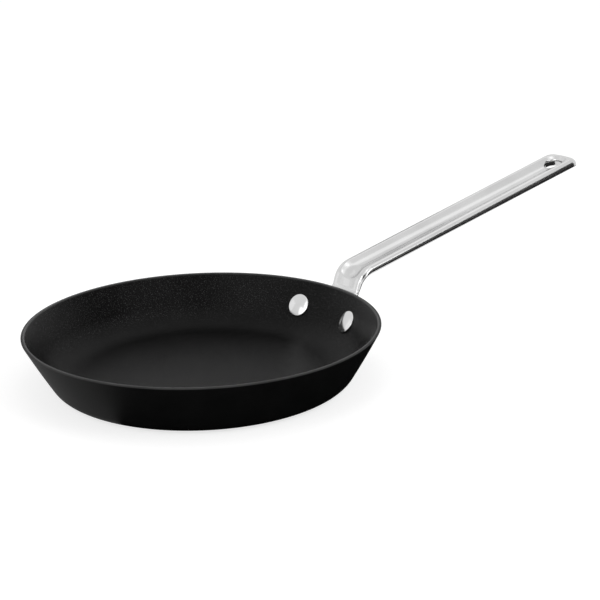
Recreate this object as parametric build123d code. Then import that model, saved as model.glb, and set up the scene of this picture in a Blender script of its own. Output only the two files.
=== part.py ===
"""Omelette pan: a coated aluminium pan with a cast steel handle held by two rivets.

Millimetres, +Z up. The origin is the centre of the underside, on the surface that the pan
stands on, and the handle points along +X.
"""
from build123d import *
import os
from math import acos, asin, atan2, cos, degrees, radians, sin, sqrt, tan

os.makedirs("parts", exist_ok=True)

# Pan
rim_radius = 102.0
pan_height = 32.4
wall_flare = 18.3            # how far the outer wall leans out between the underside and the rim
corner_radius = 11.0         # outside, between underside and wall
wall_bow = 0.33              # how far the outer wall bulges out of a straight cone
rim_width = 2.4
rim_round = 0.5
floor_thickness = 4.2
wall_foot_width = 2.8        # of the wall, measured level, where it would meet the floor
floor_fillet = 23.0

# Plate pressed into the underside
disc_margin = 13.7           # from the foot of the outer wall in to the plate's edge
disc_thickness = 1.0
disc_proud = 0.3             # how far the plate stands below the underside of the pan
disc_side_clearance = 0.15
disc_edge_round = 0.25
disc_grooves = 3
disc_groove_width = 1.2
disc_groove_depth = 0.3
disc_centre_flat = 20.0

# Rivets
rivet_drop = 13.7            # from the rim down to the head's middle, on the inner wall
rivet_spacing = 44.4         # between the two heads' middles
rivet_head_radius = 6.9
rivet_edge_height = 0.7       # of the head's side
rivet_crown_height = 1.0      # of the domed face over that side
rivet_edge_round = 0.5
rivet_shank_radius = 3.0
rivet_hole_clearance = 0.1
rivet_seat_gap = 0.05
rivet_tail_radius = 5.4
rivet_tail_height = 2.2

# Handle: line of the crest of its two side rims, in the plane of symmetry
bend_reach = 8.6             # from the pan's rim out to where straight grip and neck would meet
bend_rise = 10.64            # from the rim up to there
bend_radius = 13.9
grip_length = 194.1          # from that corner to the end of the handle
grip_slope = 11.59           # degrees above the horizontal
neck_lean = 19.63            # degrees from the vertical

# Handle: cross-section of the grip and the neck
handle_width = 26.8
shoulder_radius = 4.1        # rounding of the side rims' outer edges
side_height = 4.4            # from the rims' crest to the lower edge of the sides
handle_depth = 6.3           # from the rims' crest to the middle of the underside
trough_width = 16.6
trough_depth = 2.8
trough_edge_round = 1.2
trough_turn = 30.0           # degrees that the trough runs back round the bend
neck_recess_width = 15.6
neck_recess_depth = 0.7
neck_recess_turn = 36.0      # degrees that the recess runs up round the bend
end_bow_radius = 45.0        # of the slightly curved end, seen from above
tip_corner_radius = 7.3

# Handle: bevel along the lower edges of the grip's sides and down the back of the neck's
bevel_reach = 9.57           # from the rim out to where its two straight stretches would meet
bevel_rise = 8.09            # from the rim up to there
bevel_radius = 14.0
bevel_grip_slope = 11.17     # degrees above the horizontal
bevel_neck_lean = 28.3       # degrees from the vertical
bevel_angle = 45.0

# Handle: hang hole
hole_radius = 5.6
hole_setback = 12.75         # from the end of the handle to the hole's middle
hole_round = 1.2             # of the rim on the trough's side
hole_chamfer = 0.4           # of the rim on the underside

# Handle: bracket on the pan's wall
bracket_gap = 0.15           # between the pan's wall and the bracket
bracket_thickness = 3.2
bracket_edge_round = 0.9
lobe_radius = 8.6
ledge_drop = 1.9             # from the rim of the pan down to the top of the bracket
ledge_round = 1.6            # hollow corner between that top and the neck
boss_back_radius = 30.0      # of the belly that joins the neck's back to the bracket
boss_turn = 58.0             # degrees of that belly

overrun = 5.0                # how far cutting bodies pass what they cut
touching = 0.01              # how close a face must lie to a line to be counted as on it
edge_probe_shares = (0, 0.25, 0.5)


def at(r, z):
    """A point in the plane of symmetry, r out from the pan's axis and z up."""
    return Vector(r, 0, z)


# Heights and radii of the pan's own layers
floor_height = disc_proud + floor_thickness
ledge_height = pan_height - ledge_drop
foot_radius = rim_radius - wall_flare
floor_share = floor_thickness / (pan_height - disc_proud)
inner_foot_radius = foot_radius + wall_flare * floor_share - wall_foot_width
disc_radius = foot_radius - disc_margin

# Outer wall of the pan, as an arc in the plane of symmetry
wall_foot = at(foot_radius, disc_proud)
wall_top = at(rim_radius, pan_height)
wall_chord = wall_top - wall_foot
wall_radius = (wall_chord.length ** 2 / 4 + wall_bow ** 2) / (2 * wall_bow)
wall_side = Vector(wall_chord.Z, 0, -wall_chord.X).normalized()
wall_centre = (wall_foot + wall_top) / 2 - wall_side * (wall_radius - wall_bow)


def outer_wall(z, out=0.0):
    """Point of the outer wall at height z, or of the surface that lies out beyond it."""
    radius = wall_radius + out
    return at(wall_centre.X + sqrt(radius ** 2 - (z - wall_centre.Z) ** 2), z)


def inner_wall(z):
    """Point of the straight inner wall at height z."""
    inner_rim_radius = rim_radius - rim_width
    slant = (inner_rim_radius - inner_foot_radius) / (pan_height - floor_height)
    return at(inner_foot_radius + slant * (z - floor_height), z)


def pan_blank():
    """The pan before the rivet holes: one outline turned about the axis."""
    recess_radius = disc_radius + disc_side_clearance
    inner_rim = inner_wall(pan_height)
    inner_foot = inner_wall(floor_height)
    middle = outer_wall((wall_foot.Z + wall_top.Z) / 2)
    profile = make_face([
        Edge.make_line(at(0, disc_thickness), at(recess_radius, disc_thickness)),
        Edge.make_line(at(recess_radius, disc_thickness), at(recess_radius, disc_proud)),
        Edge.make_line(at(recess_radius, disc_proud), wall_foot),
        Edge.make_three_point_arc(wall_foot, middle, wall_top),
        Edge.make_line(wall_top, inner_rim),
        Edge.make_line(inner_rim, inner_foot),
        Edge.make_line(inner_foot, at(0, floor_height)),
        Edge.make_line(at(0, floor_height), at(0, disc_thickness)),
    ])
    for point, radius in (
        (wall_foot, corner_radius),
        (inner_foot, floor_fillet),
        (wall_top, rim_round),
        (inner_rim, rim_round),
    ):
        corner = profile.vertices().sort_by_distance(point)[0]
        profile = fillet(corner, radius)
    return revolve(profile, axis=Axis.Z)


def wall_body(out):
    """Solid that fills the pan's outline out to a set distance beyond its outer wall."""
    low = -overrun
    high = pan_height + overrun
    profile = make_face([
        Edge.make_line(at(0, low), outer_wall(low, out)),
        Edge.make_three_point_arc(
            outer_wall(low, out), outer_wall((low + high) / 2, out), outer_wall(high, out)
        ),
        Edge.make_line(outer_wall(high, out), at(0, high)),
        Edge.make_line(at(0, high), at(0, low)),
    ])
    return revolve(profile, axis=Axis.Z)


# Directions at a rivet that would sit in the plane of symmetry
rivet_foot = inner_wall(pan_height - rivet_drop)
wall_tilt = atan2(rim_radius - rim_width - inner_foot_radius, pan_height - floor_height)
rivet_inward = Vector(-cos(wall_tilt), 0, sin(wall_tilt))
rivet_turn = degrees(asin(rivet_spacing / 2 / rivet_foot.X))


def at_rivet(side, piece):
    """Move a piece from the origin, +Z inward, to the inner wall at one of the rivets."""
    plane = Plane(origin=rivet_foot, x_dir=(0, 1, 0), z_dir=rivet_inward)
    return Rotation(0, 0, side * rivet_turn) * plane.location * piece


def rivet_holes():
    """Cutting bodies for both rivet holes, through the wall and the bracket."""
    radius = rivet_shank_radius + rivet_hole_clearance
    length = 2 * (rim_width + bracket_thickness + overrun)
    return [at_rivet(side, Cylinder(radius, length)) for side in (-1, 1)]


def dome_arc(foot, height):
    """Middle and top of the arc that rises from a foot to a dome's height on the axis."""
    radius = (foot.X ** 2 + height ** 2) / (2 * height)
    half = asin(foot.X / radius) / 2
    top = at(0, foot.Z + height)
    return top + at(radius * sin(half), radius * cos(half) - radius), top


def make_rivet(side):
    """Solid rivet: low crowned head inside the pan, shank, domed tail outside the bracket."""
    sag = rivet_foot.X - sqrt(rivet_foot.X ** 2 - rivet_head_radius ** 2)
    seat = sag * cos(wall_tilt) + rivet_seat_gap
    brink = seat + rivet_edge_height
    outmost = wall_radius + bracket_gap + bracket_thickness
    tail = (wall_centre - rivet_foot).dot(rivet_inward) - outmost - rivet_seat_gap
    crown_foot = at(rivet_head_radius, brink)
    tail_foot = at(rivet_tail_radius, tail)
    crown_middle, crown_top = dome_arc(crown_foot, rivet_crown_height)
    tail_middle, tail_end = dome_arc(tail_foot, -rivet_tail_height)
    profile = make_face([
        Edge.make_three_point_arc(crown_top, crown_middle, crown_foot),
        Edge.make_line(crown_foot, at(rivet_head_radius, seat)),
        Edge.make_line(at(rivet_head_radius, seat), at(rivet_shank_radius, seat)),
        Edge.make_line(at(rivet_shank_radius, seat), at(rivet_shank_radius, tail)),
        Edge.make_line(at(rivet_shank_radius, tail), tail_foot),
        Edge.make_three_point_arc(tail_foot, tail_middle, tail_end),
        Edge.make_line(tail_end, crown_top),
    ])
    corner = profile.vertices().sort_by_distance(crown_foot)[0]
    profile = fillet(corner, rivet_edge_round)
    return at_rivet(side, revolve(profile, axis=Axis.Z))


def make_pan_body():
    """The pan with the two rivet holes through its wall."""
    body = pan_blank()
    for hole in rivet_holes():
        body -= hole
    return body


def make_base_disc():
    """Steel plate with shallow rings turned into its underside."""
    disc = Cylinder(disc_radius, disc_thickness, align=(Align.CENTER, Align.CENTER, Align.MIN))
    disc = fillet(disc.edges().group_by(Axis.Z)[0], disc_edge_round)
    pitch = (disc_radius - disc_centre_flat) / disc_grooves
    for i in range(disc_grooves):
        inner = disc_centre_flat + i * pitch
        ring = Circle(inner + disc_groove_width) - Circle(inner)
        disc -= extrude(ring, disc_groove_depth)
    return disc


# Handle: directions and turning points of its crest line
side_axis = Vector(0, -1, 0)
grip_way = Vector(cos(radians(grip_slope)), 0, sin(radians(grip_slope)))
grip_up = Vector(-grip_way.Z, 0, grip_way.X)
neck_way = Vector(sin(radians(neck_lean)), 0, cos(radians(neck_lean)))
neck_up = Vector(-neck_way.Z, 0, neck_way.X)
bend_corner = at(rim_radius + bend_reach, pan_height + bend_rise)
bend_turn = degrees(acos(grip_way.dot(neck_way)))
bend_tangent = bend_radius * tan(radians(bend_turn / 2))
grip_start = bend_corner + grip_way * bend_tangent
neck_end = bend_corner - neck_way * bend_tangent
bend_centre = grip_start - grip_up * bend_radius
neck_length = (neck_end.Z - ledge_height) / neck_way.Z
neck_start = neck_end - neck_way * neck_length
handle_tip = bend_corner + grip_way * grip_length
hole_centre = handle_tip - grip_way * hole_setback
blank_start = foot_radius - handle_width     # X well inside the pan's wall, where blanks begin


def across(origin, way):
    """Plane square to the handle's line: x to the side, y up off the crest."""
    return Plane(origin=origin, x_dir=(0, 1, 0), z_dir=way)


def handle_section(rise):
    """Section with a flat top at a height above the crest line and a bowed underside."""
    half = handle_width / 2
    return make_face([
        Edge.make_line((-half, rise), (half, rise)),
        Edge.make_line((half, rise), (half, -side_height)),
        Edge.make_three_point_arc((half, -side_height), (0, -handle_depth), (-half, -side_height)),
        Edge.make_line((-half, -side_height), (-half, rise)),
    ])


def channel_points(width, depth, edge_round):
    """Right half of a channel's outline: on the floor, end of floor, on the rounding, brink, top."""
    radius = (width ** 2 / 4 + depth ** 2) / (2 * depth)
    lift = radius - depth
    drop = edge_round - touching
    reach = sqrt((radius + edge_round) ** 2 - (lift + drop) ** 2)
    turn = asin(reach / (radius + edge_round))
    half = turn / 2
    return [
        Vector(radius * sin(half), lift - radius * cos(half)),
        Vector(radius * sin(turn), lift - radius * cos(turn)),
        Vector(reach - edge_round * sin(half), edge_round * cos(half) - drop),
        Vector(reach, touching),
        Vector(reach, depth),
    ]


def channel_section(width, depth, edge_round):
    """Section of a round-bottomed channel that opens at the crest with rounded edges."""
    right = channel_points(width, depth, edge_round)
    left = [Vector(-point.X, point.Y) for point in right]
    return make_face([
        Edge.make_three_point_arc(left[1], Vector(0, -depth), right[1]),
        Edge.make_three_point_arc(right[1], right[2], right[3]),
        Edge.make_line(right[3], right[4]),
        Edge.make_line(right[4], left[4]),
        Edge.make_line(left[4], left[3]),
        Edge.make_three_point_arc(left[3], left[2], left[1]),
    ])


def channel_end(width, depth, edge_round):
    """Bowl that ends a channel: half its section turned about the upright middle."""
    bottom = Vector(0, -depth)
    top = Vector(0, depth)
    right = channel_points(width, depth, edge_round)
    face = make_face([
        Edge.make_three_point_arc(bottom, right[0], right[1]),
        Edge.make_three_point_arc(right[1], right[2], right[3]),
        Edge.make_line(right[3], right[4]),
        Edge.make_line(right[4], top),
        Edge.make_line(top, bottom),
    ])
    return revolve(Rotation(90, 0, 0) * face, axis=Axis.Z)


def along(section, start, way, length):
    """Section run straight along a stretch of the handle's line."""
    return extrude(across(start, way) * section, length)


def round_bend(section, turn):
    """Section turned from the start of the grip back along the bend."""
    axis = Axis(bend_centre, side_axis)
    return revolve(across(grip_start, grip_way) * section, axis=axis, revolution_arc=turn)


def belly():
    """Section turned from the foot of the neck inward to the pan's wall."""
    back = neck_start - neck_up * handle_depth
    centre = back + neck_up * boss_back_radius
    rise = (boss_back_radius - handle_depth) / 2
    section = across(neck_start, neck_way) * handle_section(rise)
    return revolve(section, axis=Axis(centre, side_axis * -1), revolution_arc=boss_turn)


def above_ledge():
    """Cutting body over the ledge and in front of the neck, with a hollow corner."""
    top = neck_end + neck_way * overrun
    profile = make_face(Polyline(
        at(blank_start, ledge_height), neck_start, top, at(blank_start, top.Z), close=True
    ).edges())
    corner = profile.vertices().sort_by_distance(neck_start)[0]
    profile = fillet(corner, ledge_round)
    return extrude(profile, handle_width, both=True)


def round_tip(body):
    """Bow the end of the handle slightly and round its two corners, seen from above."""
    reach = 2 * tip_corner_radius
    width = 2 * handle_width
    plan = Pos(-reach / 2, 0) * Rectangle(reach, handle_width)
    plan &= Pos(-end_bow_radius, 0) * Circle(end_bow_radius)
    plan = fillet(plan.vertices().group_by(Axis.X)[-1], tip_corner_radius)
    sides = plan.vertices().filter_by(lambda v: abs(v.Y) > handle_width / 2 - touching)
    start = sides.sort_by(Axis.X)[-1].X
    waste = Pos((start + overrun) / 2, 0) * Rectangle(overrun - start, width) - plan
    plane = Plane(origin=handle_tip, x_dir=grip_way, z_dir=grip_up)
    return body - extrude(plane * waste, handle_width, both=True)


def round_shoulders(body):
    """Round the outer edges of the crest, from the ledge up the neck and round the tip."""
    start = at(blank_start, ledge_height)
    hollow = ledge_round * tan(radians(90 - neck_lean) / 2)
    line = Wire([
        Edge.make_line(start, neck_start - Vector(hollow, 0, 0)),
        Edge.make_line(neck_start - Vector(hollow, 0, 0), neck_start + neck_way * hollow),
        Edge.make_line(neck_start + neck_way * hollow, neck_end),
        Edge.make_three_point_arc(
            neck_end, bend_centre + (neck_up + grip_up).normalized() * bend_radius, grip_start
        ),
        Edge.make_line(grip_start, handle_tip),
    ])
    edges = []
    for edge in body.edges():
        middle = edge.position_at(0.5)
        on_line = line.distance_to(at(middle.X, middle.Z)) < ledge_round / 2
        on_side = abs(middle.Y) > touching or middle.X > hole_centre.X
        if on_line and on_side and edge.position_at(0).X > blank_start + touching:
            edges.append(edge)
    return fillet(edges, shoulder_radius)


def bevel_sides(body):
    """Bevel the lower edges of the sides, all along the grip and down the neck."""
    half = handle_width / 2
    corner = at(rim_radius + bevel_reach, pan_height + bevel_rise)
    out = at(cos(radians(bevel_grip_slope)), sin(radians(bevel_grip_slope)))
    down = at(-sin(radians(bevel_neck_lean)), -cos(radians(bevel_neck_lean)))
    grip_far = corner + out * (grip_length + handle_width)
    neck_far = corner + down * corner.Z
    away = at(handle_width, -handle_width)
    waste = make_face(Polyline(
        corner, grip_far, grip_far + away, neck_far + away, neck_far, close=True
    ).edges())
    waste = fillet(waste.vertices().sort_by_distance(corner)[0], bevel_radius)
    waste = offset(waste, shoulder_radius, kind=Kind.INTERSECTION)
    for side in (-1, 1):
        start = Pos(0, side * (half + shoulder_radius), 0) * waste
        body -= extrude(start, half, dir=(0, -side, 0), taper=bevel_angle)
    return body


def make_bracket():
    """Band on the wall with two lobes for the rivets, blended into the sides of the neck."""
    out = bracket_gap + bracket_thickness
    face = outer_wall(rivet_foot.Z, out)
    drop = Location((0, 0, (face - rivet_foot).dot(rivet_inward)))
    lobes = [at_rivet(side, drop).position for side in (-1, 1)]
    width = lobes[1].Y - lobes[0].Y
    middle = lobes[0].Z
    outline = Pos(0, middle) * SlotCenterToCenter(width, 2 * lobe_radius)
    foot = ledge_height - shoulder_radius - middle
    outline += Pos(0, middle + foot / 2) * Rectangle(handle_width, foot)
    corners = outline.vertices().filter_by(
        lambda v: abs(abs(v.X) - handle_width / 2) < touching and v.Y < middle + foot - touching
    )
    outline = fillet(corners, foot - lobe_radius - touching)
    plane = Plane(origin=at(blank_start, 0), x_dir=(0, 1, 0), z_dir=(1, 0, 0))
    band = extrude(plane * outline, rim_radius) & wall_body(out)
    edges = [
        edge for edge in band.edges()
        if is_on_wall(edge.position_at(0.5), out) and edge.position_at(0.5).Z < middle + foot - touching
    ]
    return fillet(edges, bracket_edge_round)


def is_on_wall(point, out):
    """Whether a point lies on the surface at a set distance beyond the outer wall."""
    radius = sqrt(point.X ** 2 + point.Y ** 2)
    return abs(radius - outer_wall(point.Z, out).X) < touching


def trough_cutters():
    """Cutting bodies for the trough: two bowls, and the run along the grip and round the bend."""
    size = (trough_width, trough_depth, trough_edge_round)
    section = channel_section(*size)
    length = (hole_centre - grip_start).length
    toe_up = grip_up.rotate(Axis((0, 0, 0), side_axis), trough_turn)
    toe = Plane(origin=bend_centre + toe_up * bend_radius, x_dir=(0, 1, 0), z_dir=toe_up)
    tip = Plane(origin=hole_centre, x_dir=(0, 1, 0), z_dir=grip_up)
    bowls = [plane.location * channel_end(*size) for plane in (toe, tip)]
    return bowls + [along(section, grip_start, grip_way, length), round_bend(section, trough_turn)]


def recess_cutters():
    """Cutting bodies for the shallow hollow on the front of the neck and round the bend."""
    section = channel_section(neck_recess_width, neck_recess_depth, neck_recess_depth)
    start = neck_start + neck_way * ledge_round
    straight = along(section, start, neck_way, (neck_end - start).length)
    turned = across(neck_end, neck_way) * section
    axis = Axis(bend_centre, side_axis * -1)
    return [straight, revolve(turned, axis=axis, revolution_arc=neck_recess_turn)]


def bore_edges(body):
    """Both rims of the hang hole, upper one first."""
    edges = []
    for edge in body.edges():
        reach = [edge.position_at(share) - hole_centre for share in edge_probe_shares]
        radii = [(way - grip_up * way.dot(grip_up)).length for way in reach]
        on_bore = max(abs(radius - hole_radius) for radius in radii) < touching
        if on_bore and edge.length > 2 * hole_radius:
            edges.append(edge)
    return sorted(edges, key=lambda edge: -(edge.position_at(0.5) - hole_centre).dot(grip_up))


def bore_hang_hole(body):
    """Hang hole square to the grip, with a rounded upper rim and a bevelled lower one."""
    bore = Cylinder(hole_radius, 2 * (handle_depth + overrun))
    body -= Plane(origin=hole_centre, z_dir=grip_up) * bore
    body = chamfer(bore_edges(body)[-1], hole_chamfer)
    return fillet(bore_edges(body)[0], hole_round)


def make_handle():
    """One casting: grip, bend and neck, belly and bracket, trough, hang hole, rivet holes."""
    section = handle_section(0)
    body = along(section, grip_start, grip_way, grip_length - bend_tangent)
    body += round_bend(section, bend_turn)
    body += along(handle_section(neck_length), neck_start, neck_way, neck_length)
    body += belly()
    body -= above_ledge()
    body = bevel_sides(round_shoulders(round_tip(body)))
    body += make_bracket()
    body -= wall_body(bracket_gap)
    for cutter in trough_cutters() + recess_cutters() + rivet_holes():
        body -= cutter
    return bore_hang_hole(body)


pieces = {
    "pan_body": make_pan_body(),
    "base_disc": make_base_disc(),
    "handle": make_handle(),
    "rivet_left": make_rivet(1),
    "rivet_right": make_rivet(-1),
}
for name, piece in pieces.items():
    export_step(piece, f"parts/{name}.step")
    print(name, piece.volume, piece.is_valid, len(piece.solids()))
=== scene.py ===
"""Omelette pan: finishes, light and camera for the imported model, in metres."""
import bpy
from math import pi, radians
from mathutils import Matrix, Vector


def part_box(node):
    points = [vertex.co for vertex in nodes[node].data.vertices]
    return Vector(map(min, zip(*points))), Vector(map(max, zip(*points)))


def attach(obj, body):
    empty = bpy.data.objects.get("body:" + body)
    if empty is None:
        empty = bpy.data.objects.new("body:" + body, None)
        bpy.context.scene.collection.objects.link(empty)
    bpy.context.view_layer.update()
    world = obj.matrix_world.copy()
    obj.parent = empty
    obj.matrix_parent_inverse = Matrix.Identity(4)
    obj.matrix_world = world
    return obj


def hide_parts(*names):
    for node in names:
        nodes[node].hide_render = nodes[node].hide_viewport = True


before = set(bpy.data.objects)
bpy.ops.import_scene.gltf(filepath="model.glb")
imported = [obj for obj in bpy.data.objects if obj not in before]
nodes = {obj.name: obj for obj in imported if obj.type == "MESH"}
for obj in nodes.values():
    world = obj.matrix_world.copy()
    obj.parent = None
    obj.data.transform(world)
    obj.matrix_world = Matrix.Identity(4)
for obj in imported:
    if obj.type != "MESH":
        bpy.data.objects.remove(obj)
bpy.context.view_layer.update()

# Places on the pan that its coating follows. The middle of the sheet parts inside from outside.
rim_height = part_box("pan_body")[1].z
rim_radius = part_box("pan_body")[1].y
rim_band = 0.0008
floor_middle = 0.0025
wall_top_middle = rim_radius - 0.0012
wall_foot_middle = rim_radius - 0.0175
edge_blur = 0.0003
# Heights where the painted glint specks fade in on the inner wall
glint_speck_start = 0.003
glint_speck_full = 0.009

# Noise stays mostly between these two values
noise_range = (0.3, 0.7)

# Side of the even faces of the handle's polished copy, and how much they are smoothed
handle_voxel = 0.00035
smooth_factor = 0.5
smooth_rounds = 4

# Floor and world: levels for the rays that show the background, and for the light
floor_half_side = 6.0
floor_seen_grey = 0.45
floor_seen_glow = 0.72
floor_light_grey = 0.8
world_seen_level = 1.0
world_light_level = 0.60

# Lamps and cards stand in a direction from the middle of the handle, and face it
studio_middle = Vector((0.16, 0.0, 0.06))
unit_square = ((-1, -1), (1, -1), (1, 1), (-1, 1))
lamp_distance = 1.6

# Name, direction, width, height, radiance
softboxes = (
    ("back_softbox", (0.40, 0.38, 0.85), 1.2, 0.30, 0.36),
    ("side_softbox", (-0.14, 0.74, 0.64), 0.6, 0.4, 0.15),
    ("front_softbox", (0.38, -0.57, 0.73), 1.2, 0.36, 1.3),
    ("top_softbox", (-0.12, -0.06, 0.99), 1.2, 0.7, 0.3),
    ("top_core", (-0.10, -0.10, 0.99), 0.5, 0.3, 0.8),
    ("corner_softbox", (0.12, -0.76, 0.63), 0.9, 0.6, 3.2),
    ("camera_softbox", (-0.72, -0.62, 0.22), 0.6, 0.3, 0.6),
    ("left_softbox", (-0.93, 0.05, 0.32), 0.5, 0.5, 0.9),
    ("neck_softbox", (-0.68, 0.70, 0.20), 0.9, 0.5, 0.2),
    ("wide_softbox", (-0.77, -0.17, 0.62), 0.8, 0.6, 1.5),
)

# Name, direction, distance, width, height, grey
standing_cards = (
    ("horizon_card", (0.55, 0.82, 0.02), 1.5, 1.6, 0.16, 0.7),
    ("gap_card", (-0.46, -0.58, 0.67), 1.2, 0.52, 0.60, 0.06),
    ("dark_card", (0.5, -0.80, 0.16), 0.9, 1.5, 1.0, 0.03),
)

# The card on the floor: its sides, its lift above the floor and its grey
floor_card_left, floor_card_right = -0.35, 0.9
floor_card_front, floor_card_back = -1.2, -0.03
floor_card_lift = 0.0005
floor_card_grey = 0.03

# Camera at the photograph's angle, in degrees and millimetres, and its place
camera_heading = -38.81
camera_down = 17.88
camera_roll = -1.427
camera_place = (-0.52820, -0.74601, 0.33995)
focal_length = 102.0
sensor_width = 36.0
nearest_seen = 0.01


# Node materials

class Graph:
    """Node tree of a material or world, with short calls for the nodes used here."""

    def __init__(self, tree):
        self.tree = tree
        tree.nodes.clear()

    def add(self, kind, **settings):
        node = self.tree.nodes.new(kind)
        for name, value in settings.items():
            setattr(node, name, value)
        return node

    def link(self, source, target):
        self.tree.links.new(source, target)

    def noise(self, place, scale, detail=2.0, rough=0.5):
        node = self.add("ShaderNodeTexNoise")
        node.inputs["Scale"].default_value = scale
        node.inputs["Detail"].default_value = detail
        node.inputs["Roughness"].default_value = rough
        self.link(place, node.inputs["Vector"])
        return node.outputs["Fac"]

    def spread(self, value, old_range, new_range):
        """Value moved from one range to another, and held at its ends."""
        node = self.add("ShaderNodeMapRange")
        names = ("From Min", "From Max", "To Min", "To Max")
        for name, number in zip(names, (*old_range, *new_range)):
            node.inputs[name].default_value = number
        self.link(value, node.inputs["Value"])
        return node.outputs["Result"]

    def step(self, value, low, high):
        """Zero up to the low end and one from the high end on."""
        return self.spread(value, (low, high), (0.0, 1.0))

    def choose(self, choice, zero_value, one_value):
        """One number where the choice is zero and the other where it is one."""
        return self.spread(choice, (0.0, 1.0), (zero_value, one_value))

    def greys(self, value, places, levels):
        """Grey that runs between two levels as the value runs between two places."""
        node = self.add("ShaderNodeValToRGB")
        for element, place, level in zip(node.color_ramp.elements, places, levels):
            element.position = place
            element.color = (level, level, level, 1.0)
        self.link(value, node.inputs["Fac"])
        return node.outputs["Color"]

    def math(self, operation, first, second):
        node = self.add("ShaderNodeMath", operation=operation)
        for socket, value in zip(node.inputs, (first, second)):
            if isinstance(value, float):
                socket.default_value = value
            else:
                self.link(value, socket)
        return node.outputs["Value"]

    def mix(self, factor, first, second):
        node = self.add("ShaderNodeMix", data_type="RGBA")
        self.link(factor, node.inputs["Factor"])
        sockets = [socket for socket in node.inputs if socket.type == "RGBA"]
        for socket, value in zip(sockets, (first, second)):
            if isinstance(value, tuple):
                socket.default_value = value
            else:
                self.link(value, socket)
        return next(socket for socket in node.outputs if socket.type == "RGBA")

    def bump(self, height, distance):
        node = self.add("ShaderNodeBump")
        node.inputs["Strength"].default_value = 1.0
        node.inputs["Distance"].default_value = distance
        self.link(height, node.inputs["Height"])
        return node.outputs["Normal"]

    def length(self, vector):
        node = self.add("ShaderNodeVectorMath", operation="LENGTH")
        self.link(vector, node.inputs[0])
        return node.outputs["Value"]

    def seen_rays(self):
        """One for rays that show the background: from the camera, a mirror or glass."""
        paths = self.add("ShaderNodeLightPath").outputs
        seen = self.math("MAXIMUM", paths["Is Camera Ray"], paths["Is Glossy Ray"])
        return self.math("MAXIMUM", seen, paths["Is Transmission Ray"])


def new_material(name):
    """Material with a Principled shader, its graph and its object coordinates."""
    material = bpy.data.materials.new(name)
    material.use_nodes = True
    graph = Graph(material.node_tree)
    shader = graph.add("ShaderNodeBsdfPrincipled")
    output = graph.add("ShaderNodeOutputMaterial")
    graph.link(shader.outputs["BSDF"], output.inputs["Surface"])
    place = graph.add("ShaderNodeTexCoord").outputs["Object"]
    return material, graph, shader, place


def coated_aluminium():
    """Black coating: dead matt outside, grained inside with painted glints as light specks on
    the wall, with a painted sheen at the rim.
    """
    outer_levels = (0.0032, 0.0046)
    inner_levels = (0.0020, 0.0040)
    # Painted sheen: lighter greys for the rim band, where the coating reflects the light
    rim_sheen_levels = (0.028, 0.045)
    # Painted glints: the coating's real grain, with lighter specks painted on it where it
    # catches the light
    glint_speck_colour = (0.055, 0.055, 0.055, 1.0)
    glint_speck_range = (0.56, 0.70)
    outer_roughness, inner_roughness = 0.62, 0.20
    mottle_scale, grain_scale = 60.0, 1800.0
    grain_relief = 0.00017
    specular_level = 0.072

    material, graph, shader, place = new_material("coated_aluminium")
    parts = graph.add("ShaderNodeSeparateXYZ")
    graph.link(place, parts.inputs["Vector"])
    height = parts.outputs["Z"]
    flat = graph.add("ShaderNodeCombineXYZ")
    graph.link(parts.outputs["X"], flat.inputs["X"])
    graph.link(parts.outputs["Y"], flat.inputs["Y"])
    radius = graph.length(flat.outputs["Vector"])
    wall_middle = graph.spread(
        height, (floor_middle, rim_height), (wall_foot_middle, wall_top_middle)
    )
    depth = graph.math("SUBTRACT", wall_middle, radius)
    inside = graph.step(depth, -edge_blur, edge_blur)
    above = graph.step(height, floor_middle, floor_middle + edge_blur)
    inside = graph.math("MULTIPLY", inside, above)
    rim = graph.step(height, rim_height - rim_band, rim_height - rim_band / 2)

    mottle = graph.noise(place, mottle_scale, detail=4.0)
    grain = graph.noise(place, grain_scale, detail=3.0, rough=0.7)
    # Grain specks painted lighter on the inner wall as glints
    glint_specks = graph.greys(grain, glint_speck_range, (0.0, 1.0))
    on_wall = graph.step(height, floor_middle + glint_speck_start, floor_middle + glint_speck_full)
    glint_specks = graph.math("MULTIPLY", glint_specks, on_wall)
    inner = graph.greys(mottle, noise_range, inner_levels)
    outer = graph.greys(mottle, noise_range, outer_levels)
    # Rim band painted lighter as a sheen
    rim_sheen = graph.greys(mottle, noise_range, rim_sheen_levels)
    colour = graph.mix(inside, outer, graph.mix(glint_specks, inner, glint_speck_colour))
    graph.link(graph.mix(rim, colour, rim_sheen), shader.inputs["Base Color"])
    rough = graph.choose(inside, outer_roughness, inner_roughness)
    graph.link(rough, shader.inputs["Roughness"])
    shader.inputs["Specular IOR Level"].default_value = specular_level
    relief = graph.math("MULTIPLY", grain, inside)
    graph.link(graph.bump(relief, grain_relief), shader.inputs["Normal"])
    return material


def polished_steel(name, roughness, level):
    """Bright steel with the faint waviness and clouding of a buffed casting."""
    level_spread = 0.03
    roughness_spread = 0.05
    cloud_scale, wave_scale = 45.0, 90.0
    wave_relief = 0.00002

    material, graph, shader, place = new_material(name)
    shader.inputs["Metallic"].default_value = 1.0
    cloud = graph.noise(place, cloud_scale, detail=3.0)
    colour = graph.greys(cloud, noise_range, (level - level_spread, level + level_spread))
    graph.link(colour, shader.inputs["Base Color"])
    rough = graph.spread(cloud, noise_range, (roughness, roughness + roughness_spread))
    graph.link(rough, shader.inputs["Roughness"])
    wave = graph.noise(place, wave_scale)
    graph.link(graph.bump(wave, wave_relief), shader.inputs["Normal"])
    return material


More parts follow.
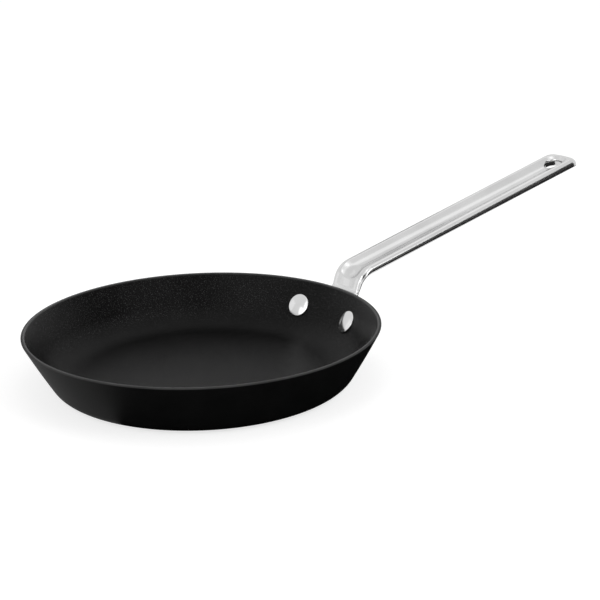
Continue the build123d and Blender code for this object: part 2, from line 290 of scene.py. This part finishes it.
def turned_steel():
    """Matt steel with the fine rings that turning leaves, round the pan's axis."""
    levels = (0.48, 0.66)
    roughness_range = (0.28, 0.42)
    ring_scale, cloud_scale = 2200.0, 35.0
    ring_relief = 0.00004

    material, graph, shader, place = new_material("base_steel")
    shader.inputs["Metallic"].default_value = 1.0
    radius = graph.add("ShaderNodeCombineXYZ")
    graph.link(graph.length(place), radius.inputs["X"])
    rings = graph.noise(radius.outputs["Vector"], ring_scale, detail=3.0)
    cloud = graph.noise(place, cloud_scale, detail=3.0)
    tone = graph.math("MULTIPLY", graph.math("ADD", rings, cloud), 0.5)
    graph.link(graph.greys(tone, noise_range, levels), shader.inputs["Base Color"])
    graph.link(graph.spread(tone, noise_range, roughness_range), shader.inputs["Roughness"])
    graph.link(graph.bump(rings, ring_relief), shader.inputs["Normal"])
    return material


def dress(node, material):
    """Put a material in every slot of a CAD node."""
    for slot in nodes[node].material_slots:
        slot.material = material


def even_copy(node, name, material):
    """Same shape as a CAD node in small even faces, which a polished surface needs."""
    piece = bpy.data.objects.new(name, nodes[node].data.copy())
    bpy.context.scene.collection.objects.link(piece)
    remesh = piece.modifiers.new("even", "REMESH")
    remesh.mode = "VOXEL"
    remesh.voxel_size = handle_voxel
    smooth = piece.modifiers.new("smooth", "SMOOTH")
    smooth.factor = smooth_factor
    smooth.iterations = smooth_rounds
    graph = bpy.context.evaluated_depsgraph_get()
    mesh = bpy.data.meshes.new_from_object(piece.evaluated_get(graph))
    piece.modifiers.clear()
    piece.data = mesh
    mesh.materials.clear()
    mesh.materials.append(material)
    mesh.shade_smooth()
    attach(piece, "root")
    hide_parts(node)
    return piece


steel = polished_steel("handle_steel", roughness=0.16, level=0.60)
rivet_finish = polished_steel("rivet_steel", roughness=0.12, level=0.63)
dress("pan_body", coated_aluminium())
dress("base_disc", turned_steel())
dress("handle", steel)
handle = even_copy("handle", "handle_polished", steel)
dress("rivet_left", rivet_finish)
dress("rivet_right", rivet_finish)


# Floor, world, lamps, cards

def make_stage_piece(name, corners):
    """Flat piece of the studio with four corners and an empty material."""
    mesh = bpy.data.meshes.new(name)
    mesh.from_pydata(corners, [], [(0, 1, 2, 3)])
    piece = bpy.data.objects.new(name, mesh)
    bpy.context.scene.collection.objects.link(piece)
    material = bpy.data.materials.new(name)
    material.use_nodes = True
    mesh.materials.append(material)
    return piece, Graph(material.node_tree)


def rectangle(width, height):
    """Corners of a level rectangle round the origin."""
    return [(x * width / 2, y * height / 2, 0) for x, y in unit_square]


def face_middle(item, direction, distance):
    """Place a lamp or card in a direction from the studio's middle, and turn it there."""
    direction = Vector(direction).normalized()
    item.location = studio_middle + direction * distance
    item.rotation_euler = direction.to_track_quat("Z", "X").to_euler()


def make_floor():
    """Pale floor: white for the camera and for reflections, but with the object's shadow."""
    side = 2 * floor_half_side
    _, graph = make_stage_piece("floor", rectangle(side, side))
    seen = graph.seen_rays()
    level = graph.choose(seen, floor_light_grey, floor_seen_grey)
    colour = graph.add("ShaderNodeCombineColor")
    for socket in colour.inputs:
        graph.link(level, socket)
    lit = graph.add("ShaderNodeBsdfDiffuse")
    graph.link(colour.outputs["Color"], lit.inputs["Color"])
    glow = graph.add("ShaderNodeEmission")
    graph.link(graph.math("MULTIPLY", seen, floor_seen_glow), glow.inputs["Strength"])
    both = graph.add("ShaderNodeAddShader")
    graph.link(lit.outputs["BSDF"], both.inputs[0])
    graph.link(glow.outputs["Emission"], both.inputs[1])
    output = graph.add("ShaderNodeOutputMaterial")
    graph.link(both.outputs["Shader"], output.inputs["Surface"])


def make_world():
    """Soft even studio light from all round, white for the rays that show the background."""
    world = bpy.data.worlds.new("studio")
    bpy.context.scene.world = world
    world.use_nodes = True
    graph = Graph(world.node_tree)
    level = graph.choose(graph.seen_rays(), world_light_level, world_seen_level)
    background = graph.add("ShaderNodeBackground")
    background.inputs["Color"].default_value = (1.0, 1.0, 1.0, 1.0)
    graph.link(level, background.inputs["Strength"])
    output = graph.add("ShaderNodeOutputWorld")
    graph.link(background.outputs["Background"], output.inputs["Surface"])


def add_softbox(name, direction, width, height, radiance):
    """Rectangular lamp that is equally bright at any size."""
    lamp = bpy.data.lights.new(name, "AREA")
    lamp.shape = "RECTANGLE"
    lamp.size = width
    lamp.size_y = height
    lamp.energy = radiance * width * height * pi
    holder = bpy.data.objects.new(name, lamp)
    bpy.context.scene.collection.objects.link(holder)
    face_middle(holder, direction, lamp_distance)


def make_card(name, corners, grey):
    """Grey card that shows only in reflections."""
    card, graph = make_stage_piece(name, corners)
    shader = graph.add("ShaderNodeBsdfDiffuse")
    shader.inputs["Color"].default_value = (grey, grey, grey, 1.0)
    output = graph.add("ShaderNodeOutputMaterial")
    graph.link(shader.outputs["BSDF"], output.inputs["Surface"])
    card.visible_camera = False
    card.visible_diffuse = False
    card.visible_shadow = False
    return card


def make_camera():
    """Camera that sees the pan as the photograph does."""
    camera_data = bpy.data.cameras.new("camera")
    camera_data.sensor_width = sensor_width
    camera_data.lens = focal_length
    camera_data.clip_start = nearest_seen
    camera = bpy.data.objects.new("camera", camera_data)
    bpy.context.scene.collection.objects.link(camera)
    heading = Matrix.Rotation(radians(camera_heading), 3, "Z")
    pitch = Matrix.Rotation(radians(90.0 - camera_down), 3, "X")
    roll = Matrix.Rotation(radians(camera_roll), 3, "Z")
    camera.rotation_euler = (heading @ pitch @ roll).to_euler()
    camera.location = camera_place
    bpy.context.scene.camera = camera


make_floor()
make_world()
for name, direction, width, height, radiance in softboxes:
    add_softbox(name, direction, width, height, radiance)
for name, direction, distance, width, height, grey in standing_cards:
    card = make_card(name, rectangle(width, height), grey)
    face_middle(card, direction, distance)
make_card("dark_floor_card", [
    (floor_card_left, floor_card_front, floor_card_lift),
    (floor_card_right, floor_card_front, floor_card_lift),
    (floor_card_right, floor_card_back, floor_card_lift),
    (floor_card_left, floor_card_back, floor_card_lift),
], floor_card_grey)
make_camera()
bpy.context.scene.view_settings.view_transform = "Standard"
